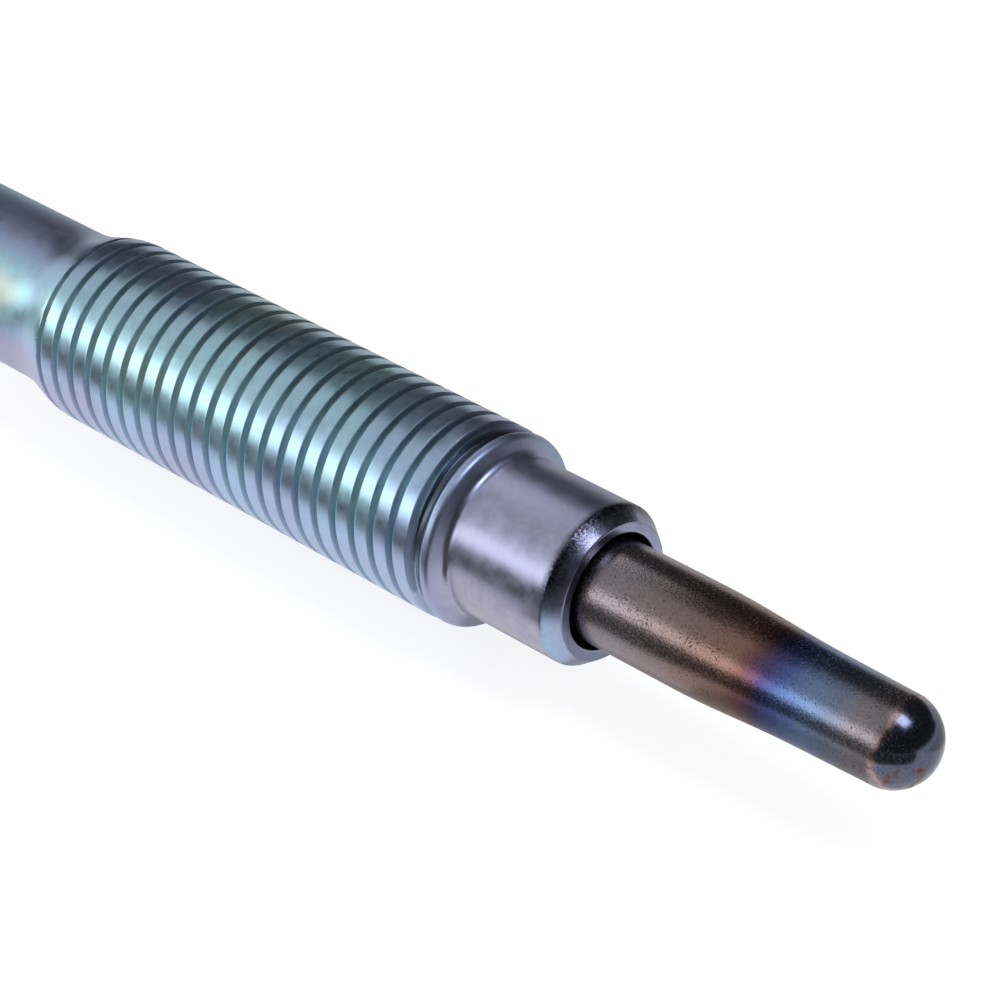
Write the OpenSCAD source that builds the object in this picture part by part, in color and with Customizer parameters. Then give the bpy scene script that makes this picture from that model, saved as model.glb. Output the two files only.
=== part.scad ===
// Sheathed diesel glow plug, lying on a flat of its hexagon.
// The plug's axis is X, with the heater tip towards +X. The origin is on the axis, at the shell's front face.
// Each piece is drawn upright, with its axis on Z and its tip upwards, and is then laid down.

/* [Heater tube] */
// Outside diameter of the tube where the shell holds it
tube_d = 5.15; // [4.8:0.05:5.6]
// How far the tip stands out of the shell's front face
tip_reach = 18.3; // [16:0.1:24]
// Length of full-width tube in front of the shell
tube_straight = 6.4; // [4:0.1:7]
// Length of the swaged cone
swage_len = 4.6; // [2:0.1:5.5]
// Outside diameter at the front end of the swaged cone
swage_d = 4.6; // [4.3:0.05:4.75]
// Outside diameter of the tip, at the foot of its rounded end
tip_d = 4.4; // [4:0.05:4.5]
// Height of the rounded end
dome_h = 1.9; // [1.6:0.05:2.15]
// Wall thickness of the tube
tube_wall = 0.6; // [0.4:0.05:0.7]
// Length of tube inside the shell
tube_inside = 26; // [22:0.5:30]
// Length of the rubber ring in the tube's rear end
tube_seal_len = 3; // [2:0.5:5]

/* [Coils] */
// Mean diameter of both coils
coil_d = 1.8; // [1.5:0.05:1.9]
// Radius of the bend from a coil's last turn to its straight lead
lead_bend_r = 0.6; // [0.5:0.05:0.8]
// Length of a coil's straight lead
lead_len = 0.4; // [0.2:0.05:0.8]
// Wire diameter of the heating coil
heating_wire_d = 0.36; // [0.25:0.01:0.4]
// Pitch of the heating coil
heating_pitch = 0.7; // [0.6:0.05:0.9]
// Turns of the heating coil
heating_turns = 10; // [7:1:12]
// Wire diameter of the control coil
control_wire_d = 0.3; // [0.25:0.01:0.4]
// Pitch of the control coil
control_pitch = 0.95; // [0.7:0.05:1.1]
// Turns of the control coil
control_turns = 15; // [10:1:16]

/* [Shell] */
// Outside diameter of the thread
thread_d = 9.8; // [9.6:0.1:10.6]
// Pitch of the thread
thread_pitch = 1.25; // [1:0.25:1.5]
// Depth of the thread's groove
groove_depth = 0.32; // [0.2:0.02:0.4]
// Width of the groove's floor
groove_floor = 0.1; // [0.06:0.02:0.16]
// Width of the rim that is left whole in front of the thread
rim_len = 0.2; // [0.15:0.05:0.4]
// Width of the relief behind the rim, in which the thread's groove starts
relief_len = 0.55; // [0.4:0.05:0.8]
// Depth of the relief
relief_depth = 0.36; // [0.3:0.02:0.44]
// Length of the thread at its full diameter, with its rim and relief
thread_len = 27; // [20:0.5:36]
// Diameter of the plain nose
nose_d = 8; // [7.8:0.1:8.2]
// Length of the nose, from the front face to the foot of the shoulder
nose_len = 6.7; // [5:0.1:9]
// Radius of the fillet at the foot of the shoulder
nose_fillet_r = 1.2; // [0.5:0.1:1.6]
// Angle of the shoulder to the axis
shoulder_angle = 45; // [30:1:60]
// Included angle of the conical seat
seat_angle = 72; // [60:1:95]
// Width of the flat ring round the mouth
mouth_rim = 0.54; // [0.2:0.02:0.64]
// Diameter of the shank behind the thread
shank_d = 8.3; // [8:0.1:8.6]
// Length of the shank
shank_len = 16.5; // [8:0.5:60]
// Width of the hexagon across its flats
hex_af = 12; // [11.5:0.5:14]
// Length of the hexagon
hex_len = 8; // [6:0.5:12]
// Diameter of the collar behind the hexagon
collar_d = 9.6; // [9:0.1:10.4]
// Length of the collar
collar_len = 3; // [2:0.5:5]
// Chamfer of the collar's edge
collar_chamfer = 0.4; // [0.2:0.05:0.6]

/* [Shell bores] */
// Gap round the tube at the mouth
mouth_gap = 0.3; // [0.2:0.02:0.46]
// Depth of the mouth, from the front face to where the tube is held
mouth_depth = 9; // [6:0.5:12]
// Gap round the rod in the shell
rod_gap = 0.45; // [0.3:0.05:0.6]

/* [Terminal end] */
// Diameter of the centre rod
rod_d = 3.5; // [3.2:0.05:3.6]
// Land of the rod's nose that is left outside the coil
rod_land = 0.05; // [0.02:0.01:0.1]
// Outside diameter of the stud's thread
stud_d = 4; // [3.8:0.1:4.2]
// Length of stud that stands free of the terminal nut
stud_free = 4.4; // [3:0.1:12]
// Chamfer of the stud's end
stud_chamfer = 0.5; // [0.3:0.05:0.8]
// Section diameter of the o-ring
ring_section = 1.5; // [1.3:0.05:1.6]
// Length of the bush inside the shell
bush_nose_len = 5; // [3:0.5:7]
// Diameter of the bush's flange
flange_d = 9; // [8.2:0.1:10]
// Thickness of the bush's flange
flange_h = 2; // [1.5:0.1:3]
// Chamfer of the flange's edge
flange_chamfer = 0.3; // [0.2:0.05:0.5]
// Width of the nuts across their flats
nut_af = 7; // [6.6:0.1:8]
// Height of the fixing nut
fixing_nut_h = 2.2; // [1.8:0.1:3]
// Height of the terminal nut
terminal_nut_h = 3.2; // [2.4:0.1:4]
// Thickness of the spring washer
washer_h = 0.9; // [0.7:0.1:1.2]
// Width of the spring washer's section
washer_w = 1.3; // [1:0.1:1.6]
// Width of the split in the spring washer
washer_split = 0.6; // [0.3:0.1:1]

/* [Clearances] */
// Clearance round pieces that slide together
slide_gap = 0.05; // [0.02:0.01:0.1]

/* [Hidden] */
$fn = 96;

// Depth past a face at which a cut starts
cut = 1;
// Turns over which the thread runs out
runout_turns = 2;
// Angle of each side of the groove to a plane across the axis
groove_side_angle = 30;
// Angle round the axis at which the groove starts, and steps round one turn of it
groove_start_angle = 313;
groove_steps = 20;
// How far the thread's cutter stands proud of the blank, and corners of its section
cutter_proud = 0.2;
cutter_corners = 4;
// Angle of the chamfer on a hexagon's corners, to the end face
corner_chamfer_angle = 30;
// Angle of the spring washer's split, to the axis
split_angle = 20;
// Steps in a rounded profile, steps round one turn of a coil, and sides of its wire
arc_steps = 8;
coil_steps = 12;
bend_steps = 4;
wire_sides = 6;

// Radii
tube_r = tube_d / 2;
tip_r = tip_d / 2;
coil_r = coil_d / 2;
thread_r = thread_d / 2;
nose_r = nose_d / 2;
shank_r = shank_d / 2;
rod_r = rod_d / 2;
stud_r = stud_d / 2;
collar_r = collar_d / 2;
flange_r = flange_d / 2;
bore_r = tube_r - tube_wall;
mouth_r = tube_r + mouth_gap;
rim_r = mouth_r + mouth_rim;
rod_nose_r = coil_r + max(heating_wire_d, control_wire_d) / 2 + rod_land;
rod_bore_r = rod_r + rod_gap;
counterbore_r = rod_r + ring_section + 2 * slide_gap;
clear_stud_r = stud_r + slide_gap;

// Heights on the upright plug, from the front face
dome_z = tip_reach - dome_h;
swage_z = tube_straight + swage_len;
tube_end_z = -tube_inside;
seal_top_z = tube_end_z + tube_seal_len;
joint_z = dome_z - coil_len(heating_turns, heating_pitch);
rod_nose_z = joint_z - coil_len(control_turns, control_pitch);

seat_h = (nose_r - rim_r) / tan(seat_angle / 2);
shoulder_h = (thread_r - nose_r) / tan(shoulder_angle);
thread_top_z = -nose_len - shoulder_h;
relief_top_z = thread_top_z - rim_len;
relief_end_z = relief_top_z - relief_len;
thread_end_z = thread_top_z - thread_len;
runout_z = thread_end_z - runout_turns * thread_pitch;
hex_top_z = runout_z - shank_len;
hex_end_z = hex_top_z - hex_len;
shell_end_z = hex_end_z - collar_len;

bush_top_z = shell_end_z + bush_nose_len;
ring_z = bush_top_z + slide_gap + ring_section / 2;
counterbore_z = ring_z + ring_section / 2 + slide_gap;
flange_end_z = shell_end_z - flange_h;
fixing_end_z = flange_end_z - fixing_nut_h;
washer_end_z = fixing_end_z - washer_h;
terminal_end_z = washer_end_z - terminal_nut_h;
stud_end_z = terminal_end_z - stud_free;

// Points on an arc about a centre, between two angles
function arc(centre, r, from, to) =
    [for (i = [0 : arc_steps])
        let (a = from + (to - from) * i / arc_steps)
        centre + r * [cos(a), sin(a)]];

// Slope of a coil's turns, and the height that a coil takes up with its two leads
function coil_slope(pitch) = atan(pitch / (PI * coil_d));
function coil_len(turns, pitch) =
    turns * pitch + 2 * (lead_len + lead_bend_r * cos(coil_slope(pitch)));

// Angle through which a lead's bend goes round the axis, and that of a whole coil
function bend_turn(pitch) = lead_bend_r * (1 - sin(coil_slope(pitch))) / coil_r * 180 / PI;
function coil_turn(turns, pitch) = 360 * turns + 2 * bend_turn(pitch);

// Stations along a coil's wire as [angle round the axis, height, slope].
// Unrolled, the wire is a straight lead, an arc, a straight run of turns, an arc and a straight lead.
function coil_stations(turns, pitch, past) =
    let (slope = coil_slope(pitch),
         whole = coil_turn(turns, pitch),
         top = coil_len(turns, pitch),
         first = [for (i = [0 : bend_steps])
             let (s = 90 + (slope - 90) * i / bend_steps)
             [lead_bend_r * (1 - sin(s)) / coil_r * 180 / PI, lead_len + lead_bend_r * cos(s), s]],
         steps = turns * coil_steps,
         turned = [for (i = [1 : steps - 1])
             [bend_turn(pitch) + 360 * i / coil_steps,
              lead_len + lead_bend_r * cos(slope) + pitch * i / coil_steps, slope]],
         last = [for (i = [bend_steps : -1 : 0]) [whole - first[i][0], top - first[i][1], first[i][2]]])
    concat([[0, -past, 90]], first, turned, last, [[whole, top + past, 90]]);

// Ring of points round the wire at one station
function wire_ring(station, wire_r) =
    let (a = station[0], s = station[2],
         middle = [coil_r * cos(a), coil_r * sin(a), station[1]],
         outward = [cos(a), sin(a), 0],
         across = [-sin(s) * sin(a), sin(s) * cos(a), -cos(s)])
    [for (k = [0 : wire_sides - 1])
        let (t = 360 * k / wire_sides)
        middle + wire_r * (cos(t) * outward + sin(t) * across)];

// Faces of a closed tube through stations 0 to last, with n points round each
function tube_faces(n, last) =
    let (sides = [for (i = [0 : last - 1], k = [0 : n - 1])
             let (p = i * n + k, q = i * n + (k + 1) % n)
             each [[p, p + n, q + n], [p, q + n, q]]],
         caps = [[for (k = [0 : n - 1]) k], [for (k = [n - 1 : -1 : 0]) last * n + k]])
    concat(sides, caps);

// A coil of round wire that stands on the plane z = 0. Each lead runs on past its end by the given length.
module coil(wire_d, turns, pitch, past = 0) {
    stations = coil_stations(turns, pitch, past);
    points = [for (s = stations) each wire_ring(s, wire_d / 2)];
    polyhedron(points, tube_faces(wire_sides, len(stations) - 1));
}

// Section of the thread's cutter at a height and an angle
function cutter_section(z, angle) =
    let (top_r = thread_r + cutter_proud,
         floor_r = thread_r - groove_depth,
         floor_half = groove_floor / 2,
         top_half = floor_half + (top_r - floor_r) * tan(groove_side_angle),
         outward = [cos(angle), sin(angle), 0])
    [for (p = [[floor_r, -floor_half], [top_r, -top_half], [top_r, top_half], [floor_r, floor_half]])
        p[0] * outward + [0, 0, z + p[1]]];

// Helical cutter for the thread's groove. It starts in the relief and leaves the blank on the run-out's cone.
module thread_cutter() {
    start_z = (relief_top_z + relief_end_z) / 2;
    last = ceil((start_z - runout_z) / thread_pitch * groove_steps);
    points = [for (i = [0 : last])
        let (turn = i / groove_steps)
        each cutter_section(start_z - thread_pitch * turn, groove_start_angle - 360 * turn)];
    polyhedron(points, tube_faces(cutter_corners, last));
}

// The coils stand in line: the control coil on the rod's nose, the heating coil on the control coil
module place_heating_coil() {
    translate([0, 0, joint_z])
        rotate(coil_turn(control_turns, control_pitch))
            children();
}

module place_control_coil() {
    translate([0, 0, rod_nose_z])
        children();
}

// Lays a piece that was drawn upright along the X axis
module lay_down() {
    rotate([0, 90, 0])
        children();
}

// Round bar or hole between two heights
module bar(r, from, to) {
    translate([0, 0, from])
        cylinder(r = r, h = to - from);
}

// Hexagonal bar between two heights, a flat downwards once laid, with its corners chamfered at both ends
module hex_bar(af, from, to) {
    corner_r = af / 2 / cos(30);
    chamfer_h = (corner_r - af / 2) * tan(corner_chamfer_angle);
    intersection() {
        rotate(30)
            translate([0, 0, from])
                cylinder(r = corner_r, h = to - from, $fn = 6);
        rotate_extrude()
            polygon([[0, from], [af / 2, from], [corner_r, from + chamfer_h],
                     [corner_r, to - chamfer_h], [af / 2, to], [0, to]]);
    }
}

module hex_nut(from, to) {
    lay_down()
        difference() {
            hex_bar(nut_af, from, to);
            bar(clear_stud_r, from - cut, to + cut);
        }
}

// Inside of the tube, from a given height to its closed end
module tube_inside_shape(from) {
    rotate_extrude()
        polygon([[0, from], [bore_r, from], [bore_r, tube_straight], [swage_d / 2 - tube_wall, swage_z],
                 [tip_r - tube_wall, dome_z], [0, dome_z]]);
}

// The rounded end is a little flatter than a half ball, which leaves a faint line at its foot
module tube_outside_shape() {
    dome_r = (tip_r * tip_r + dome_h * dome_h) / (2 * dome_h);
    foot_angle = acos(tip_r / dome_r);
    dome_side = dome_h > dome_r ? -foot_angle : foot_angle;
    rotate_extrude()
        polygon(concat(
            [[0, tube_end_z], [tube_r, tube_end_z], [tube_r, tube_straight], [swage_d / 2, swage_z]],
            arc([0, tip_reach - dome_r], dome_r, dome_side, 90)));
}

module shell_outside() {
    // The fillet touches the nose and the shoulder's cone
    fillet_h = nose_fillet_r * tan(shoulder_angle / 2);
    fillet_centre = [nose_r + nose_fillet_r, -nose_len + fillet_h];
    relief_r = thread_r - relief_depth;
    relief_side = relief_len / 3;
    rotate_extrude()
        polygon(concat(
            [[0, 0], [rim_r, 0], [nose_r, -seat_h]],
            arc(fillet_centre, nose_fillet_r, 180, 180 + shoulder_angle),
            [[thread_r, thread_top_z], [thread_r, relief_top_z], [relief_r, relief_top_z - relief_side],
             [relief_r, relief_end_z + relief_side], [thread_r, relief_end_z],
             [thread_r, thread_end_z], [shank_r, runout_z],
             [shank_r, hex_end_z], [collar_r, hex_end_z], [collar_r, shell_end_z + collar_chamfer],
             [collar_r - collar_chamfer, shell_end_z], [0, shell_end_z]]));
    hex_bar(hex_af, hex_end_z, hex_top_z);
}

module shell() {
    color("lightsteelblue")
        lay_down()
            difference() {
                shell_outside();
                thread_cutter();
                bar(mouth_r, -mouth_depth, cut);
                bar(tube_r, tube_end_z, cut);
                bar(rod_bore_r, shell_end_z - cut, cut);
                bar(counterbore_r, shell_end_z - cut, counterbore_z);
            }
}

module sheath() {
    color("rosybrown")
        lay_down()
            difference() {
                tube_outside_shape();
                tube_inside_shape(tube_end_z - cut);
            }
}

module heating_coil() {
    color("gray")
        lay_down()
            place_heating_coil()
                coil(heating_wire_d, heating_turns, heating_pitch);
}

module control_coil() {
    color("darkgray")
        lay_down()
            place_control_coil()
                coil(control_wire_d, control_turns, control_pitch);
}

module magnesia_fill() {
    color("whitesmoke")
        lay_down()
            difference() {
                tube_inside_shape(seal_top_z);
                bar(rod_nose_r, seal_top_z - cut, rod_nose_z);
                place_heating_coil()
                    coil(heating_wire_d, heating_turns, heating_pitch, lead_len / 2);
                place_control_coil()
                    coil(control_wire_d, control_turns, control_pitch, lead_len / 2);
            }
}

module tube_seal() {
    color("dimgray")
        lay_down()
            difference() {
                bar(bore_r, tube_end_z, seal_top_z);
                bar(rod_nose_r, tube_end_z - cut, seal_top_z + cut);
            }
}

module centre_rod() {
    rod_step_z = tube_end_z - rod_gap;
    stud_top_z = shell_end_z + bush_nose_len / 2;
    color("silver")
        lay_down()
            rotate_extrude()
                polygon([[0, rod_nose_z], [rod_nose_r, rod_nose_z], [rod_nose_r, rod_step_z],
                         [rod_r, rod_step_z], [rod_r, stud_top_z], [stud_r, stud_top_z],
                         [stud_r, stud_end_z + stud_chamfer], [stud_r - stud_chamfer, stud_end_z],
                         [0, stud_end_z]]);
}

module o_ring() {
    color("black")
        lay_down()
            rotate_extrude()
                translate([rod_r + slide_gap + ring_section / 2, ring_z])
                    circle(d = ring_section);
}

module insulating_bush() {
    color("saddlebrown")
        lay_down()
            difference() {
                union() {
                    bar(counterbore_r - slide_gap, flange_end_z + flange_h / 2, bush_top_z);
                    rotate_extrude()
                        polygon([[0, shell_end_z], [flange_r, shell_end_z],
                                 [flange_r, flange_end_z + flange_chamfer],
                                 [flange_r - flange_chamfer, flange_end_z], [0, flange_end_z]]);
                }
                bar(clear_stud_r, flange_end_z - cut, bush_top_z + cut);
            }
}

module fixing_nut() {
    color("lightgray")
        hex_nut(fixing_end_z, flange_end_z);
}

module spring_washer() {
    outer_r = clear_stud_r + washer_w;
    color("gray")
        lay_down()
            difference() {
                bar(outer_r, washer_end_z, fixing_end_z);
                bar(clear_stud_r, washer_end_z - cut, fixing_end_z + cut);
                translate([0, outer_r / 2, (washer_end_z + fixing_end_z) / 2])
                    rotate([0, split_angle, 0])
                        cube([washer_split, outer_r + cut, washer_h * 2], center = true);
            }
}

module terminal_nut() {
    color("lightgray")
        hex_nut(terminal_end_z, washer_end_z);
}

shell();
sheath();
heating_coil();
control_coil();
magnesia_fill();
tube_seal();
centre_rod();
o_ring();
insulating_bush();
fixing_nut();
spring_washer();
terminal_nut();
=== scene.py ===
# %% [markdown]
# # A diesel glow plug
# A glow plug is a small electric heater that screws into a diesel engine and warms the air before a cold start.
# This lesson dresses the plug's CAD solids for a photograph: it turns smooth bodies on an axis, cuts real threads
# with Geometry Nodes, and paints two finishes that tell the plug's story, zinc plate and heat-tinted metal.
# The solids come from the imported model. They stay where they are, and every new piece takes the place of one of them.

# %% Load the solids
import math

import bmesh
import bpy
import numpy as np
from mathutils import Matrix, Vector


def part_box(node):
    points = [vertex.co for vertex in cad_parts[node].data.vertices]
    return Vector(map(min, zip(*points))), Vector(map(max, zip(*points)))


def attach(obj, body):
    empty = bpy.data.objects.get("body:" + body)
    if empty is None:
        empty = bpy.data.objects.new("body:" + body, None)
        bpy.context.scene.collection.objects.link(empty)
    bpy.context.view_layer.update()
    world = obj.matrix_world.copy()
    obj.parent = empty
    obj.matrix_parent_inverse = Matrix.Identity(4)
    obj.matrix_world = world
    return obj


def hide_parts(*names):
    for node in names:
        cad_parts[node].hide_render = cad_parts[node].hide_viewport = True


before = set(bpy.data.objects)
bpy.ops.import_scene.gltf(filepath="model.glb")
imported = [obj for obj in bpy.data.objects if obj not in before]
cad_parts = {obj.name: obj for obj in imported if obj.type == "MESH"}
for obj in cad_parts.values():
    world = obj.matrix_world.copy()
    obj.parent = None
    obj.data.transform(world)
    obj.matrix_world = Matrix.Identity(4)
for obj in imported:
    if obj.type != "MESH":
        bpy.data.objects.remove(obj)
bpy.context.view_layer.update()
MM = 0.001
print("solids:", ", ".join(sorted(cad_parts)))

# %% [markdown]
# ## Four small helpers
# Colours are picked as the hex values that a screen shows, but shaders add and multiply light, so each one is turned
# to linear light first. The second helper adds one node with its settings and its links. A link may be a number, a
# socket or a whole node, whose first output is then used, so a chain of nodes reads from top to bottom like a
# recipe. Sockets are named, or counted from 0. In a Map Range node 0 is the value, 1 and 2 are the range that it
# comes from, and 3 and 4 the range that it goes to. The other two helpers give a noise its scale from a real size,
# and start a material.

# %% Colour and node helpers
def linear(colour):
    """An sRGB hex value as linear red, green, blue and alpha."""
    parts = [int(colour[i:i + 2], 16) / 255 for i in (1, 3, 5)]
    return [c / 12.92 if c <= 0.04045 else ((c + 0.055) / 1.055) ** 2.4 for c in parts] + [1.0]


def add(tree, kind, links=None, stops=None, **settings):
    """Adds a node. stops are the places and colours of a colour ramp, where three numbers are a colour as it is."""
    made = tree.nodes.new(kind)
    for name, value in settings.items():
        setattr(made, name, value)
    for socket, value in (links or {}).items():
        if isinstance(value, bpy.types.Node):
            value = next(s for s in value.outputs if s.enabled)
        if isinstance(value, bpy.types.NodeSocket):
            tree.links.new(value, made.inputs[socket])
        else:
            made.inputs[socket].default_value = value
    if stops:
        ramp = made.color_ramp
        ramp.elements.remove(ramp.elements[1])
        for k, (place, colour) in enumerate(stops):
            stop = ramp.elements[0] if k == 0 else ramp.elements.new(place)
            stop.position = place
            stop.color = linear(colour) if isinstance(colour, str) else [*colour, 1.0]
    return made


def per_mm(size):
    """Scale of a noise whose spots are about this many millimetres across."""
    return 1 / (size * MM)


def new_finish(name, **constants):
    """A material, its node tree and its main shader. Constants go straight onto the shader's sockets."""
    material = bpy.data.materials.new(name)
    material.use_nodes = True
    shader = material.node_tree.nodes["Principled BSDF"]
    for socket, value in constants.items():
        shader.inputs[socket.replace("_", " ")].default_value = value
    return material, material.node_tree, shader


print("middle grey in linear light:", [round(c, 3) for c in linear("#808080")])

# %% [markdown]
# ## The camera
# The photograph was taken from close by with a long lens, above and in front of the heater tip. The camera's place
# was worked out from the photograph's own circles: the rims of the mouth, the thread's sides and the round tip all
# have to fall where they do there. A long lens far off and a short lens close by frame the plug alike, but only one
# of the two gives the ends of the plug the right sizes, so the lens is part of that fit.

# %% Place the camera
CAMERA_AT = (86.627, -97.633, 87.934)  # in mm
LOOKS_DOWN, TURNED_LEFT = 32.475, 43.827  # in degrees
SENSOR, LENS = 36, 125.24  # in mm
camera = bpy.data.objects.new("camera", bpy.data.cameras.new("camera"))
bpy.context.scene.collection.objects.link(camera)
bpy.context.scene.camera = camera
camera.location = Vector(CAMERA_AT) * MM
camera.rotation_euler = (math.radians(90 - LOOKS_DOWN), 0, math.radians(TURNED_LEFT))
camera.data.sensor_width = SENSOR
camera.data.lens = LENS
camera.data.clip_start = 1 * MM
print("camera", [round(c, 4) for c in camera.location], "lens", camera.data.lens)

# %% [markdown]
# ## Bodies turned on an axis
# Nearly every piece of a glow plug comes off a lathe, so one helper does a lathe's work: it sweeps an outline of
# places along the axis and radii round the X axis. A Screw modifier could sweep a curve too, but here a row may also
# change its radius round the axis, which gives the hexagons from the same helper. A second helper eases the outline's
# corners. A real edge is never quite sharp, and the narrow band of the rounded edge is what catches the light.
# It also puts an extra point just beside each corner. Smooth shading would otherwise bend the light over the
# whole flat next to it.

# %% Lathe helpers
def eased(corners, steps=4, beside=0.04):
    """An outline of (x, r, ease) corners in mm. Ease is how far from the corner its rounding starts."""
    corners = [(np.array(c[:2], float), c[2]) for c in corners]
    outline = []
    for k, (corner, ease) in enumerate(corners):
        if k in (0, len(corners) - 1) or ease == 0:
            outline.append(corner)
            continue
        before, after = corners[k - 1][0] - corner, corners[k + 1][0] - corner
        long_before, long_after = np.linalg.norm(before), np.linalg.norm(after)
        start = corner + before / long_before * ease
        end = corner + after / long_after * ease
        outline.append(start + before / long_before * min(beside, 0.2 * (long_before - ease)))
        for s in np.linspace(0, 1, steps + 1):
            outline.append((1 - s) ** 2 * start + 2 * s * (1 - s) * corner + s * s * end)
        outline.append(end + after / long_after * min(beside, 0.2 * (long_after - ease)))
    return [tuple(p) for p in outline]


def turned(name, rows, angles):
    """Sweeps rows of (x, r) in mm round the X axis. A row of radius 0 is a pole, and without poles the last row
    meets the first one. An x or an r may be an array with a value for each angle."""
    count = len(angles)
    points, rings, faces = [], [], []
    for x, r in rows:
        first = len(points)
        if np.ndim(r) == 0 and r == 0:
            points.append((x * MM, 0.0, 0.0))
            rings.append([first] * count)
            continue
        x, r = np.broadcast_to(x, count) * MM, np.broadcast_to(r, count) * MM
        points.extend(zip(x, r * np.cos(angles), r * np.sin(angles)))
        rings.append(list(range(first, first + count)))
    pairs = list(zip(rings, rings[1:]))
    if rings[0][0] != rings[0][1]:
        pairs.append((rings[-1], rings[0]))
    for a, b in pairs:
        for k in range(count):
            j = (k + 1) % count
            corners = [a[k], b[k], b[j], a[j]]
            faces.append([c for i, c in enumerate(corners) if c not in corners[:i]])
    mesh = bpy.data.meshes.new(name)
    mesh.from_pydata(points, [], faces)
    piece = bpy.data.objects.new(name, mesh)
    bpy.context.scene.collection.objects.link(piece)
    return piece


def close_up(piece, sharp=35):
    """Points the faces outwards and shades the mesh smooth, apart from edges sharper than this many degrees."""
    made = bmesh.new()
    made.from_mesh(piece.data)
    bmesh.ops.recalc_face_normals(made, faces=made.faces)
    open_edges = sum(1 for e in made.edges if not e.is_manifold)
    made.to_mesh(piece.data)
    made.free()
    piece.data.shade_smooth()
    piece.data.set_sharp_from_angle(angle=math.radians(sharp))
    triangles = sum(len(p.vertices) - 2 for p in piece.data.polygons)
    print(f"{piece.name}: {triangles} triangles, {open_edges} open edges")


def settle(piece, node):
    """The piece rides on the plug and stands in for a CAD solid, which is hidden."""
    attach(piece, "root")
    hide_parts(node)


EVEN = np.radians(np.arange(0, 360, 2.5))
print("columns round a plain turned piece:", len(EVEN))

# %% [markdown]
# ## Zinc plate with a blue passivate
# The shell is turned steel, plated with zinc and dipped in a passivate. The dip leaves a clear film about as thick
# as a wavelength of light, so the grey metal shows lavender, pale blue, cyan, green, straw and pink, in that order,
# as the film gets thicker. The Thin Film socket could work these colours out, but it sees only the view, and an
# exported model loses it. So the film's thickness is painted as one number from 0 to 1, and a colour ramp turns that
# number into the film's colour. The number has its own course along the plug on the underside, on the side and on
# top. It also drifts in patches a few millimetres wide, and rises in the thread's groove, where the dip is slow to
# drain.

# %% Where things are on the shell
def place_nodes(tree):
    """Coordinates, place along the axis in mm, height from 0 at the bottom to 1 on top, and radius in metres."""
    where = add(tree, "ShaderNodeTexCoord").outputs["Object"]
    split = add(tree, "ShaderNodeSeparateXYZ", {0: where})
    along = add(tree, "ShaderNodeMath", {0: split.outputs[0], 1: 1 / MM}, operation="MULTIPLY")
    across = add(tree, "ShaderNodeCombineXYZ", {1: split.outputs[1], 2: split.outputs[2]})
    radius = add(tree, "ShaderNodeVectorMath", {0: across}, operation="LENGTH").outputs["Value"]
    rise = add(tree, "ShaderNodeMath", {0: split.outputs[2], 1: radius}, operation="DIVIDE")
    height = add(tree, "ShaderNodeMapRange", {0: rise, 1: -1.0, 2: 1.0})
    return where, along, height, radius


zinc, tree, shader = new_finish("blue_passivated_zinc_plate", Metallic=1.0)
where, along, height, radius = place_nodes(tree)
BACK, FRONT = -46.0, 1.0
SHOULDER_BACK, NOSE_BACK = -7.0, -6.4


def at(x):
    """Place of x, in mm, on a ramp from the shank to the shell's front face."""
    return (x - BACK) / (FRONT - BACK)


zone = add(tree, "ShaderNodeMapRange", {0: along, 1: BACK, 2: FRONT})
print("the nose ends at", round(at(NOSE_BACK), 3), "of the ramp")

# %% The film's thickness
# Red is the film on the underside, green on the side, and blue on top.
film_zones = add(tree, "ShaderNodeValToRGB", {0: zone}, stops=[
    (0.0, (0.14, 0.58, 0.26)), (at(-38.5), (0.14, 0.56, 0.26)), (at(-36.5), (0.18, 0.38, 0.24)),
    (at(-34), (0.20, 0.42, 0.24)), (at(-29), (0.24, 0.38, 0.38)), (at(-24), (0.24, 0.40, 0.44)),
    (at(-14), (0.25, 0.36, 0.32)), (at(-8.6), (0.25, 0.33, 0.24)), (at(-7.4), (0.20, 0.28, 0.24)),
    (at(-6.6), (0.06, 0.16, 0.18)), (at(-6.0), (0.02, 0.14, 0.14)), (at(-1.0), (0.02, 0.14, 0.14)),
    (at(-0.7), (0.32, 0.14, 0.14)), (at(0), (0.14, 0.14, 0.14))])
films = add(tree, "ShaderNodeSeparateColor", {0: film_zones})
up_the_side = add(tree, "ShaderNodeMapRange", {0: height, 1: 0.40, 2: 0.75}, interpolation_type="SMOOTHSTEP")
over_the_top = add(tree, "ShaderNodeMapRange", {0: height, 1: 0.75, 2: 1.0}, interpolation_type="SMOOTHSTEP")
drained = add(tree, "ShaderNodeMix", {0: up_the_side, 2: films.outputs[0], 3: films.outputs[1]})
drained = add(tree, "ShaderNodeMix", {0: over_the_top, 2: drained, 3: films.outputs[2]})
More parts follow.
